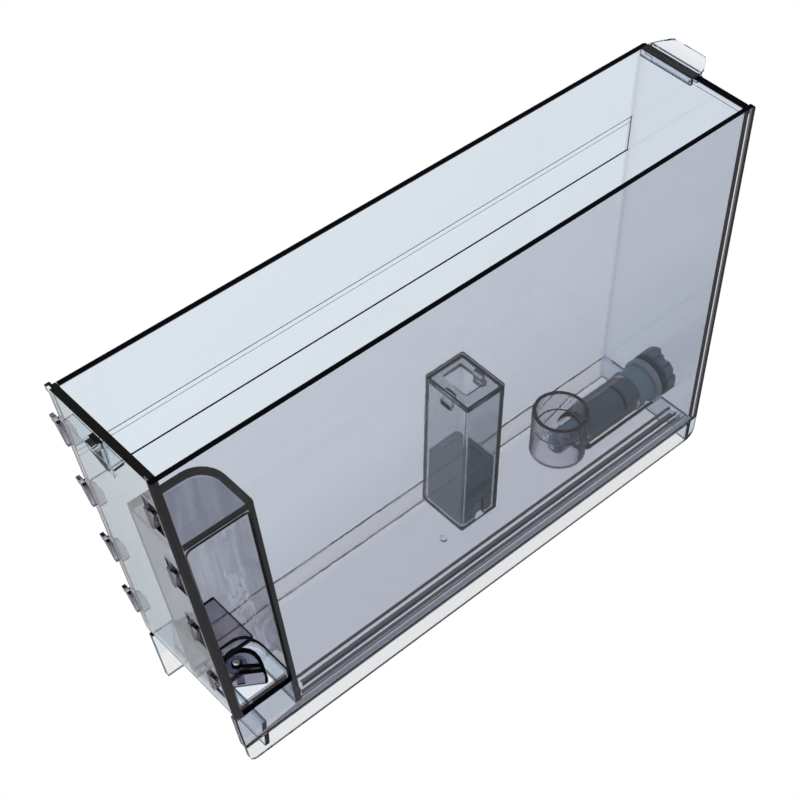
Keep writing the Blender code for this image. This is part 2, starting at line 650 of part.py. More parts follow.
# ------------------------------------------------------------ outlet valve
NOSE_Y, BODY_Y, SEAT_Y, VALVE_END = 89.5, 106.4, 149.0, 170.0
PLUNGER_HEAD = 144.6
SEAL_GROOVE = (133.0, 135.6)
SHOULDER = 0.01  # length over which a turned profile steps to a new radius
BODY_PROFILE = [  # (radius, y)
    (4.6, NOSE_Y), (5.3, NOSE_Y + 1.0), (5.3, BODY_Y + 2.6), (7.6, BODY_Y + 3.4),
    (7.6, TUBE_END + GAP), (10.9, TUBE_END + GAP + SHOULDER),
    (10.9, 146.4), (9.9, 146.4 + SHOULDER),
    (9.9, 154.2), (8.5, 154.2 + SHOULDER), (8.5, VALVE_END),
]
PLUNGER_PROFILE = [  # (radius, y)
    (1.5, NOSE_Y - 1.0), (1.5, PLUNGER_HEAD - 6.0), (2.2, PLUNGER_HEAD - 5.4),
    (2.2, PLUNGER_HEAD), (3.9, PLUNGER_HEAD + SHOULDER),
    (3.9, PLUNGER_HEAD + 1.4), (2.0, PLUNGER_HEAD + 1.4 + SHOULDER),
    (2.0, PLUNGER_HEAD + 3.8), (2.4, PLUNGER_HEAD + 4.2), (1.6, PLUNGER_HEAD + 5.0),
    (1.6, 164.6), (1.0, 165.4),
]


def build_valve_body():
    body = turned_y("valve_body", BODY_PROFILE)
    steps = [
        (CUT, rod_y("chamber", 4.4, NOSE_Y + 2.4, SEAT_Y, 32)),
        (CUT, rod_y("tail_guide", 1.9, NOSE_Y - 3, NOSE_Y + 4, 20)),
        (CUT, rod_y("throat", 2.9, SEAT_Y - 1.0, SEAT_Y + 4.0, 32)),
        (CUT, rod_y("probe_bore", 6.4, SEAT_Y + 3.0, VALVE_END + 3, 40)),
    ]
    port_y = (NOSE_Y + 3.6, BODY_Y - 1.0)
    for k in range(4):
        steps.append((CUT, radial_box(f"port{k}", 1.5, port_y, (3.2, 9.0), 45 + 90 * k)))
    groove = rod_y("groove_outer", 12, *SEAL_GROOVE)
    combine(groove, [(CUT, rod_y("groove_inner", 6.3, 130, 140))])
    steps.append((CUT, groove))
    finish(combine(body, steps), VALVE_DARK)


def build_seal(name, major, minor, y, count=48, section=12):
    """A toroidal seal about the outlet axis."""
    bm = bmesh.new()
    rows = []
    for i in range(count):
        around_axis = 2 * math.pi * i / count
        row = []
        for j in range(section):
            angle = 2 * math.pi * j / section
            radius = major + minor * math.cos(angle)
            point = Vector((
                radius * math.cos(around_axis),
                y + minor * math.sin(angle),
                VALVE_Z + radius * math.sin(around_axis),
            ))
            row.append(bm.verts.new(point * MM))
        rows.append(row)
    for i, row in enumerate(rows):
        following = rows[(i + 1) % count]
        for j in range(section):
            k = (j + 1) % section
            bm.faces.new((row[j], row[k], following[k], following[j]))
    return finish(mesh_object(name, bm), SEAL_RUBBER)


def build_plunger():
    return finish(turned_y("valve_plunger", PLUNGER_PROFILE, 28), PLUNGER_STEEL)


def build_spring(y0, y1, radius, wire, turns, per_turn=16, section=7):
    """A coil about the outlet axis; radius is to the wire's centre, wire its radius."""
    total = turns * per_turn
    along = Vector((0, 1, 0))
    rings = []
    for i in range(total + 1):
        t = i / total
        turn = 2 * math.pi * turns * t
        out = Vector((math.cos(turn), 0, math.sin(turn)))
        centre = Vector((0, y0 + wire + (y1 - y0 - 2 * wire) * t, VALVE_Z)) + out * radius
        angles = [2 * math.pi * j / section for j in range(section)]
        rings.append([
            centre + out * (wire * math.cos(a)) + along * (wire * math.sin(a)) for a in angles
        ])
    finish(loft("valve_spring", rings), SPRING_STEEL)


# ------------------------------------------------------------ rear wall fittings
FITTING_BORE = 8.8
NUT_RADIUS = 12.3


def build_lock_ring():
    """The ring inside the tank."""
    lock = turned_y("inner_lock_ring", [(11.4, 154.6), (12.1, 155.2), (12.1, 157.9), (11.4, 158.4)], 56)
    finish(combine(lock, [(CUT, rod_y("lock_bore", FITTING_BORE, 150, 162))]), LOCK_DARK)


def build_gasket():
    gasket = rod_y("wall_gasket", 12.0, 158.7, 159.7, 56)
    finish(combine(gasket, [(CUT, rod_y("gasket_bore", FITTING_BORE, 150, 165))]), SEAL_RUBBER)


def nut_lug(k):
    """A raised sector on the rear face of the nut."""
    start = math.radians(100 + 180 * k)
    # (radius, degrees from the start of the lug)
    corners = [(NUT_RADIUS, t) for t in range(0, 50, 7)] + [(7.0, 49), (7.0, 0)]
    outline = []
    for radius, degrees in corners:
        angle = start + math.radians(degrees)
        outline.append((radius * math.cos(angle), VALVE_Z + radius * math.sin(angle)))
    return prism_y(f"lug{k}", outline, 168.0, 172.6)


def build_nut():
    """The nut outside the tank: two lugs, four notches and twelve flutes."""
    profile = [(11.7, 163.6), (NUT_RADIUS, 164.2), (NUT_RADIUS, 169.6), (11.6, 170.5)]
    nut = turned_y("outlet_nut", profile, 64)
    steps = [(UNION, nut_lug(k)) for k in range(2)]
    for degrees in (20, 62, 200, 242):
        steps.append((CUT, radial_box("notch", 1.5, (168.9, 176.0), (8.0, 15.0), degrees)))
    steps.append((CUT, rod_y("nut_bore", FITTING_BORE, 160, 175)))
    for k in range(12):
        steps.append((CUT, radial_box("flute", 0.55, (160.0, 168.4), (11.5, 14.0), 30 * k + 5)))
    finish(combine(nut, steps), NUT_DARK)


# ------------------------------------------------------------ keeper dish on the pocket floor
KEEPER_Z0, KEEPER_Z1 = POCKET_FLOOR + GAP, 42.6
KEEPER_BASE = KEEPER_Z0 + 0.2  # underside of the ribs and hub
DISH_WALL = 1.5
DISH_OUTWARD = Vector((0.85, -0.53))  # away from the dish through its straight side
DISH = [  # (x, y); the first two points are the straight side
    (17.9, -129.3), (26.2, -116.2), (25.6, -115.2), (22.0, -113.6), (18.2, -111.9),
    (14.6, -110.8), (11.0, -110.6), (8.3, -111.4), (6.0, -113.1), (4.5, -115.3),
    (3.7, -118.0), (3.8, -121.0), (5.0, -124.2), (8.0, -127.2), (12.5, -129.0),
]


def dish_core():
    """The dish's outline moved inwards by its wall, but past its open straight side."""
    middle = Vector((sum(x for x, _ in DISH) / len(DISH), sum(y for _, y in DISH) / len(DISH)))
    start, end = Vector(DISH[0]), Vector(DISH[1])
    straight = (end - start).normalized()
    out = [
        tuple(start - straight * 1.0 + DISH_OUTWARD * 2.0),
        tuple(end - straight * DISH_WALL + DISH_OUTWARD * 2.0),
    ]
    for point in map(Vector, DISH[2:]):
        out.append(tuple(point + (middle - point).normalized() * DISH_WALL))
    return out


def keeper_strip(name, start, end, width, z1):
    """A straight rib between two points of the plan."""
    a, b = Vector(start), Vector(end)
    side = Vector((a.y - b.y, b.x - a.x)).normalized() * (width / 2)
    corners = [tuple(a - side), tuple(b - side), tuple(b + side), tuple(a + side)]
    return prism_z(name, corners, KEEPER_BASE, z1)


def keeper_cylinder(name, radius, z0, z1, count):
    return cylinder_z(name, KEEPER_X, KEEPER_Y, radius, z0, z1, count)


def build_keeper():
    keeper = prism_z("keeper_boss", DISH, KEEPER_Z0, KEEPER_Z1)
    combine(keeper, [(CUT, prism_z("core", dish_core(), KEEPER_Z0 + 0.9, KEEPER_Z1 + 3))])
    bar_z, arm_z = KEEPER_Z1 - 0.3, KEEPER_Z0 + 1.9
    steps = [
        (UNION, keeper_cylinder("hub", 2.5, KEEPER_BASE, KEEPER_Z1, 28)),
        (UNION, keeper_cylinder("disc", 5.0, KEEPER_BASE, KEEPER_Z0 + 1.7, 40)),
        (UNION, keeper_strip("bar_a", (12.2, -120.4), (17.9, -112.6), 1.1, bar_z)),
        (UNION, keeper_strip("bar_b", (14.6, -122.9), (20.6, -113.8), 1.1, bar_z)),
        (UNION, keeper_strip("arm", (11.0, -121.0), (19.6, -125.4), 3.6, arm_z)),
        (CUT, keeper_cylinder("keeper_bore", 1.35, KEEPER_Z0 - 5, KEEPER_Z1 + 5, 24)),
    ]
    finish(combine(keeper, steps), KEEPER_SMOKED)


def build_screw():
    """The keeper's screw, with a cross recess in its head."""
    screw = keeper_cylinder("keeper_screw", 1.0, 35.4, KEEPER_Z1 + 0.5, 20)
    # (radius, height above the keeper)
    stations = ((1.75, 0.3), (1.75, 0.8), (1.2, 1.3))
    head = loft("screw_head", [
        [(x, y, KEEPER_Z1 + rise) for x, y in circle(KEEPER_X, KEEPER_Y, radius, 28)]
        for radius, rise in stations
    ])
    steps = [(UNION, head)]
    for half_x, half_y in ((1.0, 0.22), (0.22, 1.0)):
        x_span, y_span = around(KEEPER_X, half_x), around(KEEPER_Y, half_y)
        steps.append((CUT, box("drive", x_span, y_span, (KEEPER_Z1 + 0.9, KEEPER_Z1 + 3))))
    finish(combine(screw, steps), SCREW_STEEL)


# ------------------------------------------------------------ moving pieces and placing
def on_axis(pieces, label, where):
    """An empty on the joint's axis that carries the pieces that move with it."""
    pivot = bpy.data.objects.new(label, None)
    pivot.empty_display_type = "SINGLE_ARROW"
    pivot.empty_display_size = 0.01
    pivot.location = Vector(where) * MM
    bpy.context.scene.collection.objects.link(pivot)
    bpy.context.view_layer.update()
    for piece in pieces:
        piece.parent = pivot
        piece.matrix_parent_inverse = pivot.matrix_world.inverted()


def centre_on_origin():
    for thing in bpy.data.objects:
        if thing.parent is None:
            thing.location += Vector(ORIGIN_SHIFT) * MM
    bpy.context.view_layer.update()


build_shell()
build_side_plate()
build_front_plate()
build_clips()
build_grip_tab()
build_cage()
build_retainer()
on_axis((build_float(), build_magnet()), "float_axis", (CAGE_X, CAGE_Y, FLOAT_Z0))
build_socket()
build_valve_body()
build_seal("body_seal", major=7.2, minor=0.62, y=sum(SEAL_GROOVE) / 2)
plunger_seal = build_seal(
    "plunger_seal", major=3.05, minor=0.72, y=PLUNGER_HEAD + 2.55, count=32, section=10
)
on_axis((build_plunger(), plunger_seal), "plunger_axis", (0, PLUNGER_HEAD, VALVE_Z))
build_spring(y0=NOSE_Y + 2.8, y1=PLUNGER_HEAD - 0.4, radius=3.3, wire=0.45, turns=11)
build_lock_ring()
build_gasket()
build_nut()
build_keeper()
build_screw()
centre_on_origin()
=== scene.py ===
"""Looks of a slide-in water tank with a float and an outlet valve.

The tank stands upright with its front towards -Y and its right side towards +X.
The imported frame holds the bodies. This script gives them materials, and adds the
valve's spring, fine lines on the left wall, the light and the camera.
Places are in the design's millimetres; the row frame is in metres.
"""

import math

import bmesh
import bpy
from mathutils import Matrix, Vector

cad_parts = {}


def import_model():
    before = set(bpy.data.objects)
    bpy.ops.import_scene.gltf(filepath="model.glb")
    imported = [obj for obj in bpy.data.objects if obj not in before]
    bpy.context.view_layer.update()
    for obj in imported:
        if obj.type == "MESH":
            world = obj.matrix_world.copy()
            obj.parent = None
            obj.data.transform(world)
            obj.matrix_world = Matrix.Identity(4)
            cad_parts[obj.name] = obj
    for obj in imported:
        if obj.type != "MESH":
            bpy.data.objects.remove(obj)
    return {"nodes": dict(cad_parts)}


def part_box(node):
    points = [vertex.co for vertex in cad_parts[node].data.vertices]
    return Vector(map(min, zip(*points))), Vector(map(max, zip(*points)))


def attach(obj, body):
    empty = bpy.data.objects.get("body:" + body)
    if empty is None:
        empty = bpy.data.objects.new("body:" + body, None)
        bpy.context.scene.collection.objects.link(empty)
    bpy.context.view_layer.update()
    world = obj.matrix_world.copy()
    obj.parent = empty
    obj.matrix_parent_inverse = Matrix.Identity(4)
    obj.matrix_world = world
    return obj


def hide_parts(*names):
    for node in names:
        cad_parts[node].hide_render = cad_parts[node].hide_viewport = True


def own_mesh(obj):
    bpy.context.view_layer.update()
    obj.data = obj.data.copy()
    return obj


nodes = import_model()["nodes"]
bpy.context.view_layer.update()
MM = 0.001

# The design's origin in the row frame: the shell's left side is at x -32.3 mm
# and the side plate's rear end at y 166 mm.
ORIGIN_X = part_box("tank_shell")[0].x + 0.0323
ORIGIN_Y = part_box("side_plate")[1].y - 0.166

# The front plate's outer face leans: its y grows by FRONT_RAKE per mm below RIM_Z.
RIM_Z = 216
FRONT_TOP_Y = -163.84
FRONT_RAKE = 0.1455


def place(x, y, z):
    """A point given in the design's millimetres, in the row frame."""
    return Vector((ORIGIN_X + x * MM, ORIGIN_Y + y * MM, z * MM))


def rgba(colour):
    return (*colour, 1.0)


# ------------------------------------------------------------ node helpers
class Nodes:
    """Adds nodes to a tree. Inputs take either a value or a socket to link from."""

    def __init__(self, tree):
        self.tree = tree

    def add(self, kind, ins=None, **props):
        node = self.tree.nodes.new("ShaderNode" + kind)
        for key, value in props.items():
            setattr(node, key, value)
        for key, value in (ins or {}).items():
            if isinstance(value, bpy.types.NodeSocket):
                self.link(value, node.inputs[key])
            else:
                node.inputs[key].default_value = value
        return node

    def link(self, source, target):
        self.tree.links.new(source, target)

    def math(self, operation, *values):
        return self.add("Math", operation=operation, ins=dict(enumerate(values))).outputs[0]

    def mix(self, share, first, second):
        """Colour first where share is 0, second where it is 1."""
        # inputs 6 and 7 and output 2 are the Mix node's colour sockets
        ends = {6: first, 7: second}
        ends = {key: rgba(v) if isinstance(v, tuple) else v for key, v in ends.items()}
        return self.add("Mix", data_type="RGBA", ins={0: share, **ends}).outputs[2]

    def remap(self, value, from_min=0.0, from_max=1.0, to_min=0.0, to_max=1.0):
        ins = {
            "Value": value,
            "From Min": from_min,
            "From Max": from_max,
            "To Min": to_min,
            "To Max": to_max,
        }
        return self.add("MapRange", ins=ins).outputs[0]

    def noise(self, coord, scale, detail, roughness, distortion=0.0):
        ins = {
            "Vector": coord,
            "Scale": scale,
            "Detail": detail,
            "Roughness": roughness,
            "Distortion": distortion,
        }
        return self.add("TexNoise", ins=ins).outputs["Fac"]

    def bump(self, height, strength, distance):
        ins = {"Strength": strength, "Distance": distance, "Height": height}
        return self.add("Bump", ins=ins).outputs[0]


class Material(Nodes):
    """An empty material with its output node and object coordinates."""

    def __init__(self, name):
        self.mat = bpy.data.materials.new(name)
        self.mat.use_nodes = True
        super().__init__(self.mat.node_tree)
        self.tree.nodes.clear()
        self.out = self.add("OutputMaterial")
        self.coord = self.add("TexCoord").outputs["Object"]

    def moulded_bump(self, scale, strength, fine):
        """A gentle flow waviness with a finer orange peel, as moulded plastic has."""
        flow = self.noise(self.coord, scale, detail=2.0, roughness=0.4)
        peel = self.noise(self.coord, scale * 9, detail=3.0, roughness=0.5)
        height = self.math("MULTIPLY_ADD", peel, fine, flow)
        return self.bump(height, strength, distance=0.001)

    def surface(self, **ins):
        """The finished material, with a principled surface."""
        ins = {key.replace("_", " "): value for key, value in ins.items()}
        bsdf = self.add("BsdfPrincipled", ins=ins)
        self.link(bsdf.outputs[0], self.out.inputs["Surface"])
        return self.mat


class Zone:
    """Masks and colours by place in the design's millimetres, for a clear plastic's tint."""

    def __init__(self, material):
        self.m = material
        self.mix = material.mix
        parts = material.add("SeparateXYZ", ins={0: material.coord})
        self.x, self.y, self.z = (
            material.math("MULTIPLY_ADD", parts.outputs[k], 1000.0, -1000.0 * zero)
            for k, zero in enumerate((ORIGIN_X, ORIGIN_Y, 0.0))
        )

    def more(self, value, limit):
        return self.m.math("GREATER_THAN", value, limit)

    def less(self, value, limit):
        return self.m.math("LESS_THAN", value, limit)

    def raked(self, slope, at_zero):
        """y less the y of a sloping plane, which is at_zero + slope * z."""
        plane = self.m.math("MULTIPLY_ADD", self.z, slope, at_zero)
        return self.m.math("SUBTRACT", self.y, plane)

    def every(self, *masks):
        joined = masks[0]
        for mask in masks[1:]:
            joined = self.m.math("MULTIPLY", joined, mask)
        return joined

    def fade(self, value, low, high, first, second):
        return self.mix(self.m.remap(value, low, high), first, second)

    def streaks(self, scale, low, high):
        shape = self.m.add("Mapping", ins={"Vector": self.m.coord, "Scale": scale})
        fac = self.m.noise(shape.outputs[0], 1.0, detail=1.5, roughness=0.45, distortion=0.9)
        return self.m.remap(fac, low, high)


# ------------------------------------------------------------ tints of the clear parts, and the painted shade on them
CLEAR = (1.0, 1.0, 1.0)
BLACK = (0.0, 0.0, 0.0)
SHELL_WALL = (0.845, 0.91, 0.965)
SHELL_FLOOR = (0.795, 0.82, 0.865)
SHELL_REAR = (0.7, 0.745, 0.81)
LEDGE_SHADE = (0.16, 0.13, 0.13)
RIM_SHADE_GREY = (0.1, 0.1, 0.12)
POCKET_ROOF = (0.9, 0.91, 0.93)
POCKET_SHADE_DARK = (0.47, 0.45, 0.495)
POCKET_SHADE_PALE = (0.62, 0.6, 0.645)
PLATE_LOW = (0.82, 0.845, 0.875)
PLATE_HIGH = (0.935, 0.94, 0.95)
PLATE_END_SHADE = (0.03, 0.03, 0.036)
FRONT_FACE = (0.93, 0.98, 1.0)


def shell_tint(material):
    """The walls, a darker rear wall, painted shade in upright streaks in a finger pocket, and
    painted shade on a ledge and on the rim.
    """
    q = Zone(material)
    tint = q.mix(q.more(q.z, 19.2), CLEAR, SHELL_WALL)
    floor = q.every(q.more(q.z, 15.0), q.less(q.z, 19.2), q.less(q.x, 26.5))
    tint = q.mix(floor, tint, q.fade(q.x, -24.0, -16.0, CLEAR, SHELL_FLOOR))
    tint = q.mix(q.more(q.y, 158.0), tint, SHELL_REAR)

    # the pocket lies ahead of a leaning plane
    past_plane = q.raked(slope=-0.118, at_zero=-98.5)
    pocket = q.every(q.more(q.x, -0.4), q.less(past_plane, 0.0), q.more(q.z, 41.0))
    # painted shade in the pocket: dark and pale grey in upright streaks, nearly clear above z 167
    tone = q.mix(q.streaks((70.0, 70.0, 11.0), 0.36, 0.66), POCKET_SHADE_DARK, POCKET_SHADE_PALE)
    tone = q.mix(q.more(q.z, 167.0), tone, POCKET_ROOF)
    tint = q.mix(pocket, tint, tone)
    # painted shade: a dark band on the ledge low on the front right
    ledge = q.every(
        q.more(q.x, 26.6), q.less(q.y, -104.0), q.less(q.z, 40.2), q.more(q.z, 38.0)
    )
    tint = q.mix(ledge, tint, LEDGE_SHADE)

    # painted shade on the rim: black along its left and rear outside, and dark grey within
    rear = q.more(q.y, 162.7)
    rim = q.mix(rear, q.mix(q.less(q.x, -31.0), RIM_SHADE_GREY, BLACK), BLACK)
    return q.mix(q.more(q.z, 215.7), tint, rim)


def plate_tint(material):
    """Paler towards the top, and painted nearly black at the rear end as shade."""
    q = Zone(material)
    rear = q.more(q.y, 163.6)
    return q.mix(rear, q.fade(q.z, 115.0, 160.0, PLATE_LOW, PLATE_HIGH), PLATE_END_SHADE)


def front_tint(material):
    """Dark on the rim and on the catch, where the light is lost in the thick edge."""
    q = Zone(material)
    depth = q.raked(slope=-FRONT_RAKE, at_zero=FRONT_TOP_Y + FRONT_RAKE * RIM_Z)
    rim = q.every(q.more(q.z, 215.8), q.more(depth, 1.1))
    tint = q.mix(rim, FRONT_FACE, BLACK)
    catch = q.every(
        q.more(q.z, 213.7),
        q.more(q.x, -3.4),
        q.less(q.x, 2.3),
        q.more(depth, -2.3),
        q.less(depth, 0.0),
    )
    return q.mix(catch, tint, BLACK)


# ------------------------------------------------------------ kinds of material
def clear_plastic(name, wall, through, rough=0.02, tint=None):
    """Clear moulded plastic.

    through is the share of each colour that passes wall millimetres of it,
    apart from what its faces reflect.
    """
    m = Material(name)
    bump = m.moulded_bump(scale=14.0, strength=0.05, fine=0.15)
    smear = m.noise(m.coord, 22.0, detail=4.0, roughness=0.62, distortion=0.6)
    roughness = m.remap(smear, 0.45, 0.75, to_min=rough, to_max=rough + 0.05)
    bsdf = m.add(
        "BsdfPrincipled",
        ins={
            "Base Color": tint(m) if tint else rgba(CLEAR),
            "Roughness": roughness,
            "IOR": 1.5,
            "Transmission Weight": 1.0,
            "Normal": bump,
        },
    )
    # light from lamps and the surroundings reaches what stands behind the plastic
    lamp = m.add("LightPath").outputs["Is Shadow Ray"]
    unseen = m.add("BsdfTransparent", ins={"Color": rgba(CLEAR)})
    blend = m.add("MixShader", ins={0: lamp, 1: bsdf.outputs[0], 2: unseen.outputs[0]})
    m.link(blend.outputs[0], m.out.inputs["Surface"])

    # density is kept a little above the greatest loss, so no colour channel reaches 0
    lost = [-math.log(share) / (wall * MM) for share in through]
    density = max(lost) / 0.95
    colour = rgba([1 - loss / density for loss in lost])
    absorb = m.add("VolumeAbsorption", ins={"Color": colour, "Density": density})
    m.link(absorb.outputs[0], m.out.inputs["Volume"])
    return m.mat


def plain_plastic(name, colour, rough, wave=0.08, mottled=0.12, scale=120.0, shine=0.5):
    """Opaque moulded plastic; mottled is the share by which its colour varies."""
    m = Material(name)
    bump = m.moulded_bump(scale, wave, fine=0.5)
    tone = m.noise(m.coord, scale * 0.5, detail=5.0, roughness=0.6)
    dark = tuple(c * (1 - mottled) for c in colour)
    light = tuple(min(1.0, c * (1 + mottled)) for c in colour)
    return m.surface(
        Base_Color=m.mix(tone, dark, light),
        Roughness=m.remap(tone, to_min=rough - 0.08, to_max=rough + 0.1),
        IOR=1.48,
        Specular_IOR_Level=shine,
        Normal=bump,
    )


def metal(name, colour, rough):
    m = Material(name)
    grain = m.noise(m.coord, 900.0, detail=3.0, roughness=0.6)
    bump = m.bump(grain, strength=0.08, distance=0.0005)
    return m.surface(
        Base_Color=rgba(colour),
        Metallic=1.0,
        Roughness=m.remap(grain, to_min=rough - 0.05, to_max=rough + 0.1),
        Normal=bump,
    )


def foam(name, colour):
    m = Material(name)
    cells = m.add("TexVoronoi", ins={"Vector": m.coord, "Scale": 1400.0})
    grain = m.noise(m.coord, 160.0, detail=6.0, roughness=0.65)
    dark = tuple(c * 0.8 for c in colour)
    light = tuple(c * 1.25 for c in colour)
    tone = m.mix(grain, dark, light)
    bump = m.bump(cells.outputs["Distance"], strength=0.3, distance=0.0006)
    return m.surface(Base_Color=tone, Roughness=0.8, Normal=bump)


# ------------------------------------------------------------ materials
SHELL = clear_plastic("shell_clear", 2.6, (0.94, 0.95, 0.965), rough=0.012, tint=shell_tint)
PLATE = clear_plastic("plate_clear", 2.5, (0.9, 0.89, 0.92), rough=0.008, tint=plate_tint)
FRONT = clear_plastic("front_clear", 3.84, (0.945, 0.945, 0.95), rough=0.012, tint=front_tint)
COLUMN = clear_plastic("column_clear", 1.8, (0.84, 0.85, 0.865))
SOCKET = clear_plastic("socket_clear", 2.0, (0.83, 0.82, 0.85))
CLIP = clear_plastic("clip_smoked", 1.5, (0.62, 0.61, 0.67))
CLIP_CLEAR = clear_plastic("clip_clear", 1.5, (0.88, 0.87, 0.9))
DISH = clear_plastic("keeper_clear", 0.9, (0.4, 0.37, 0.44), rough=0.05)
SEAT = plain_plastic(
    "seat_grey", (0.5, 0.51, 0.57), rough=0.35, wave=0.1, mottled=0.15, scale=260.0, shine=0.3
)
TAB = clear_plastic("tab_clear", 1.6, (0.88, 0.9, 0.93))
VALVE = plain_plastic("valve_dark", (0.14, 0.235, 0.28), rough=0.42)
NUT = plain_plastic("nut_dark", (0.15, 0.19, 0.235), rough=0.4)
LOCK = plain_plastic("lock_grey", (0.19, 0.25, 0.29), rough=0.35)
# no body wears this one
plain_plastic("keeper_smoked", (0.06, 0.045, 0.09), rough=0.3)
SEAL = plain_plastic("seal_rubber", (0.02, 0.02, 0.022), rough=0.6)
STEEL = metal("steel_bright", (0.72, 0.73, 0.74), rough=0.18)
MAGNET = metal("magnet_coated", (0.1, 0.1, 0.105), rough=0.4)
FLOAT = foam("float_foam", (0.13, 0.2, 0.245))


def line_plastic(name, colour, rough, mottled=0.1, shine=0.5):
    """Plastic for painted shade and painted light along edges and lines, smoother than the bodies.
    """
    return plain_plastic(name, colour, rough, wave=0.04, mottled=mottled, shine=shine)


# painted shade: near-black and dark grey for faces and lines where light is lost in thick clear
# edges
EDGE_SHADE = line_plastic("edge_painted_shade", (0.0015, 0.0015, 0.0025), rough=0.5, mottled=0.2, shine=0.05)
EDGE_SHADE_SOFT = line_plastic("edge_painted_shade_grey", (0.035, 0.035, 0.045), rough=0.5, mottled=0.2, shine=0.1)
# painted shade: dark outlines on the clips' narrow faces
CLIP_LINE_SHADE = line_plastic("clip_line_painted_shade", (0.09, 0.088, 0.115), rough=0.4, shine=0.3)
# painted light: pale on a low face of the shell's right side, in place of a dark line
SEAM_PAINTED_LIGHT = line_plastic("seam_painted_light", (0.55, 0.57, 0.65), rough=0.4)
# painted shade: mid grey on the top of the step along the base
STEP_PAINTED_SHADE = line_plastic("step_painted_shade", (0.22, 0.215, 0.27), rough=0.35)


# ------------------------------------------------------------ materials on the bodies
def give(name, *slots):
    mesh = nodes[name].data
    mesh.materials.clear()
    for mat in slots:
        mesh.materials.append(mat)
    return mesh


def give_faces(name, slots, rule):
    """Materials by face: rule(x, y, z, normal) picks a slot's material, or None for the first."""
    mesh = give(name, *slots)
    for poly in mesh.polygons:
        c = poly.center
        x, y, z = (c.x - ORIGIN_X) / MM, (c.y - ORIGIN_Y) / MM, c.z / MM
        poly.material_index = slots.index(rule(x, y, z, poly.normal) or slots[0])


def shell_rule(x, y, z, n):
    right_face = n.x > 0.9 and 29.2 < x < 29.6
    # rim top, painted dark as shade
    if z > 215.6 and n.z > 0.9:
        return EDGE_SHADE
    # the right face above z 36.6, painted dark as shade
    if right_face and z > 36.6:
        return EDGE_SHADE
    # upright band low on the front right, painted dark as shade
    if 44.9 < z < 47.5 and x > 2.0 and y < -104 and abs(n.z) < 0.3 and (n.x > 0.1 or n.y < -0.5):
        return EDGE_SHADE
    # short rear-facing band near the front, painted dark as shade
    if 82.9 < z < 86.5 and abs(n.z) < 0.5 and -140 < y < -120 and n.y > 0.5:
        return EDGE_SHADE
    # low on the same right face, painted pale as light
    if right_face and z < 19:
        return SEAM_PAINTED_LIGHT
    # step along the base: its left-facing side painted dark grey and its top painted mid grey,
    # both as shade
    if n.x < -0.9 and 18.5 < x < 23.7 and 13.5 < z < 18.7 and y < 159:
        return EDGE_SHADE_SOFT
    if n.z > 0.9 and 18.8 < x < 23.4 and 13.5 < z < 14.1 and y < 159:
        return STEP_PAINTED_SHADE
    return None


def plate_rule(x, y, z, n):
    """The narrow faces round the plate, painted dark as shade."""
    return EDGE_SHADE if abs(n.x) < 0.6 else None


def front_rule(x, y, z, n):
    depth = y - (FRONT_TOP_Y + FRONT_RAKE * (RIM_Z - z))
    # front-facing strip near the right side, set back from the outer face
    if 19.6 < x < 28.4 and 2.4 < depth < 3.5 and n.y < -0.5:
        return SEAT
    # right-facing side of what stands proud of the outer face, painted dark grey as shade
    if depth < -0.3 and n.x > 0.7 and -2.3 < x < -1.7 and z < 214:
        return EDGE_SHADE_SOFT
    # the right end face, painted dark as shade
    return EDGE_SHADE if n.x > 0.9 and x > 29.0 else None


def column_rule(x, y, z, n):
    """The top faces of the cage, painted dark grey as shade."""
    return EDGE_SHADE_SOFT if n.z > 0.8 and z > 103.0 else None


def keeper_rule(x, y, z, n):
    """The top and the upright faces just under it, painted dark as shade."""
    top = z > 41.9 and n.z > 0.5
    return EDGE_SHADE if top or (abs(n.z) < 0.5 and z > 41.0) else None


def clip_rule(x, y, z, n):
    """The narrow faces close to the tank's side, painted as dark outlines of shade; reach is how
    far out they stand.
    """
    reach = x - 20.05 if x > 0 else -32.3 - x
    return CLIP_LINE_SHADE if abs(n.x) < 0.5 and reach < 2.05 else None


def tab_rule(x, y, z, n):
    """The level faces and the low part, short of the rear end and the top, painted dark grey as
    shade.
    """
    return EDGE_SHADE_SOFT if y < 162.0 and (abs(n.z) > 0.6 or z < 213.9) and z < 217 else None


for name in nodes:
    if name.startswith("cover_clip"):
        give_faces(name, (CLIP_CLEAR if "right" in name else CLIP, CLIP_LINE_SHADE), clip_rule)
give_faces("tank_shell", (SHELL, EDGE_SHADE, EDGE_SHADE_SOFT, STEP_PAINTED_SHADE, SEAM_PAINTED_LIGHT), shell_rule)
give_faces("side_plate", (PLATE, EDGE_SHADE), plate_rule)
give_faces("front_plate", (FRONT, EDGE_SHADE, SEAT, EDGE_SHADE_SOFT), front_rule)
give_faces("rear_grip_tab", (TAB, EDGE_SHADE_SOFT), tab_rule)
give_faces("float_cage", (COLUMN, EDGE_SHADE_SOFT), column_rule)
give_faces("keeper_boss", (DISH, EDGE_SHADE), keeper_rule)
for name, mat in (
    ("float_retainer", COLUMN),
    ("filter_socket", SOCKET),
    ("float", FLOAT),
    ("float_magnet", MAGNET),
    ("valve_body", VALVE),
    ("inner_lock_ring", LOCK),
    ("outlet_nut", NUT),
    ("body_seal", SEAL),
    ("plunger_seal", SEAL),
    ("wall_gasket", SEAL),
    ("valve_plunger", STEEL),
    ("keeper_screw", STEEL),
):
    give(name, mat)


# ------------------------------------------------------------ small pieces that ride on the bodies
def link_object(name, data):
    obj = bpy.data.objects.new(name, data)
    bpy.context.scene.collection.objects.link(obj)
    return obj


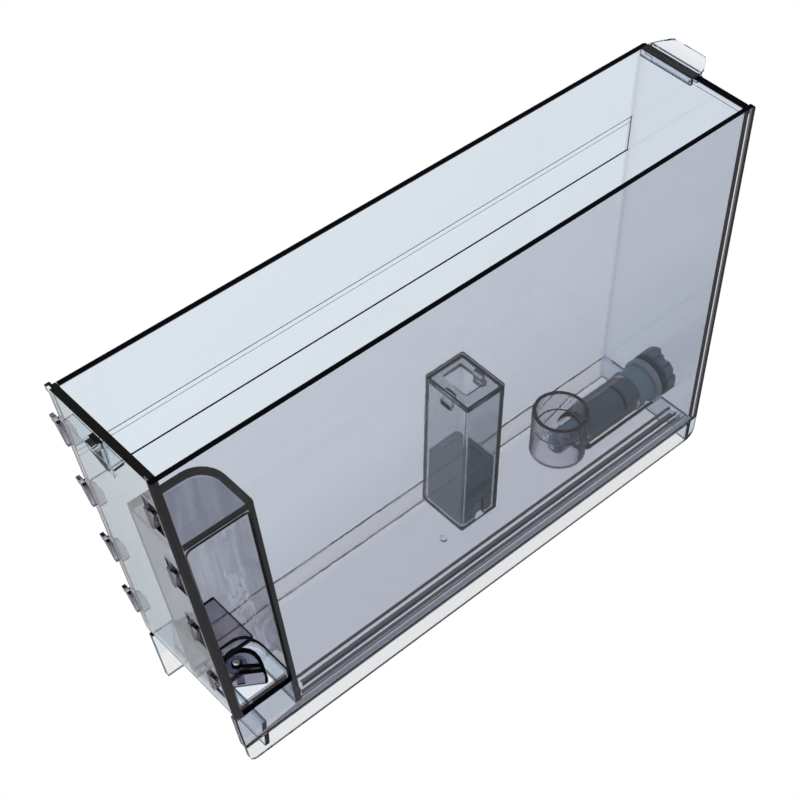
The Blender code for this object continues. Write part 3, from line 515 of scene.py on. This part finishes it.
def add_mesh(name, verts, faces, mat):
    mesh = bpy.data.meshes.new(name)
    mesh.from_pydata([tuple(v) for v in verts], [], faces)
    bm = bmesh.new()
    bm.from_mesh(mesh)
    bmesh.ops.recalc_face_normals(bm, faces=bm.faces)
    bm.to_mesh(mesh)
    bm.free()
    mesh.materials.append(mat)
    mesh.shade_smooth()
    return link_object(name, mesh)


def tube(name, path, radius, mat, sides):
    """A round wire swept along points in the row frame, closed at both ends."""
    verts, faces = [], []
    last = len(path) - 1
    normal = None
    for i, point in enumerate(path):
        ahead = path[min(i + 1, last)] - path[max(i - 1, 0)]
        ahead.normalize()
        if normal is None:
            normal = ahead.orthogonal().normalized()
        normal = (normal - ahead * normal.dot(ahead)).normalized()
        cross = ahead.cross(normal)
        for k in range(sides):
            angle = 2 * math.pi * k / sides
            verts.append(point + (normal * math.cos(angle) + cross * math.sin(angle)) * radius)
    for i in range(last):
        here, there = i * sides, (i + 1) * sides
        for k in range(sides):
            n = (k + 1) % sides
            faces.append((here + k, here + n, there + n, there + k))
    faces.append(tuple(range(sides)))
    faces.append(tuple(last * sides + k for k in reversed(range(sides))))
    return add_mesh(name, verts, faces, mat)


def add_spring():
    """The outlet valve's spring along y, built at one length and fixed to the tank, though the
    real spring shortens as the plunger is pushed in.
    """
    turns, steps_per_turn = 13, 26
    coil_radius, wire_radius, axis_z = 3.3, 0.45, 24.6
    front_y, rear_y, anchor_y = 92.8, 143.7, 92.3
    steps = turns * steps_per_turn
    coil = []
    for i in range(steps + 1):
        t = i / steps
        # the first and last turns are closed, with no lead
        lead = min(1.0, max(0.0, (t * turns - 1.0) / (turns - 2.0)))
        angle = 2 * math.pi * turns * t
        x = coil_radius * math.cos(angle)
        z = axis_z + coil_radius * math.sin(angle)
        coil.append(place(x, front_y + (rear_y - front_y) * lead, z))
    spring = tube("valve_spring_coil", coil, wire_radius * MM, STEEL, sides=10)
    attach(spring, "tank")
    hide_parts("valve_spring")
    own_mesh(spring)


def add_band_lines():
    """Fine dark lines of painted shade along the edges of the left wall's recessed band."""
    wall_x, front_y, rear_y = -30.45, -154.0, 159.3
    top_z, bottom_z, rear_foot_z = 177.8, 174.2, 157.8
    # start (y, z), end (y, z), radius, material
    lines = (
        ((front_y, top_z), (rear_y, top_z), 0.13, EDGE_SHADE_SOFT),
        ((front_y, bottom_z), (rear_y, bottom_z), 0.11, EDGE_SHADE_SOFT),
        ((rear_y, rear_foot_z), (rear_y, top_z), 0.22, EDGE_SHADE),
    )
    for k, (start, end, radius, mat) in enumerate(lines):
        path = [place(wall_x, *start), place(wall_x, *end)]
        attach(tube(f"band_line_{k}", path, radius * MM, mat, sides=6), "tank")


add_spring()
add_band_lines()


# ------------------------------------------------------------ light and camera
def light_world():
    """White surroundings, dimmer in mirrored rays, and dimmer there at the side than in front."""
    world = bpy.data.worlds.new("studio")
    bpy.context.scene.world = world
    world.use_nodes = True
    w = Nodes(world.node_tree)
    bounces = w.add("LightPath").outputs["Glossy Depth"]
    direction = w.add("TexCoord").outputs["Generated"]
    y = w.add("SeparateXYZ", ins={0: direction}).outputs[1]
    mirrored = w.remap(y, from_min=0.05, from_max=-0.25, to_min=0.22, to_max=0.95)
    level = w.remap(bounces, to_min=1.0, to_max=mirrored)
    background = world.node_tree.nodes["Background"]
    w.link(level, background.inputs["Strength"])
    background.inputs["Color"].default_value = rgba(CLEAR)


def add_key_light():
    """A soft square lamp above the front right, itself unseen in or through the plastic."""
    data = bpy.data.lights.new("key_soft", "AREA")
    data.shape = "RECTANGLE"
    data.size = data.size_y = 0.9
    data.energy = 4.0
    lamp = link_object("key_soft", data)
    location, target = Vector((0.3, -0.2, 1.3)), Vector((0, 0, 0.1))
    lamp.location = location
    lamp.rotation_mode = "QUATERNION"
    lamp.rotation_quaternion = (target - location).to_track_quat("-Z", "Y")
    lamp.visible_glossy = False
    lamp.visible_transmission = False


def add_camera():
    """Looks down on the tank from its front right."""
    data = bpy.data.cameras.new("camera")
    data.lens = 79.98
    data.sensor_width = 36.0
    data.clip_start, data.clip_end = 0.02, 30
    camera = link_object("camera", data)
    right = Vector((0.6706, 0.7418, 0.00816))
    up = Vector((-0.54432, 0.48456, 0.68477))
    forward = Vector((-0.50400, 0.46365, -0.72871))
    turn = Matrix((right, up, -forward)).transposed()
    camera.matrix_world = Matrix.Translation(place(391.48, -375.04, 695.33)) @ turn.to_4x4()
    bpy.context.scene.camera = camera


light_world()
add_key_light()
add_camera()
bpy.context.scene.view_settings.view_transform = "Standard"
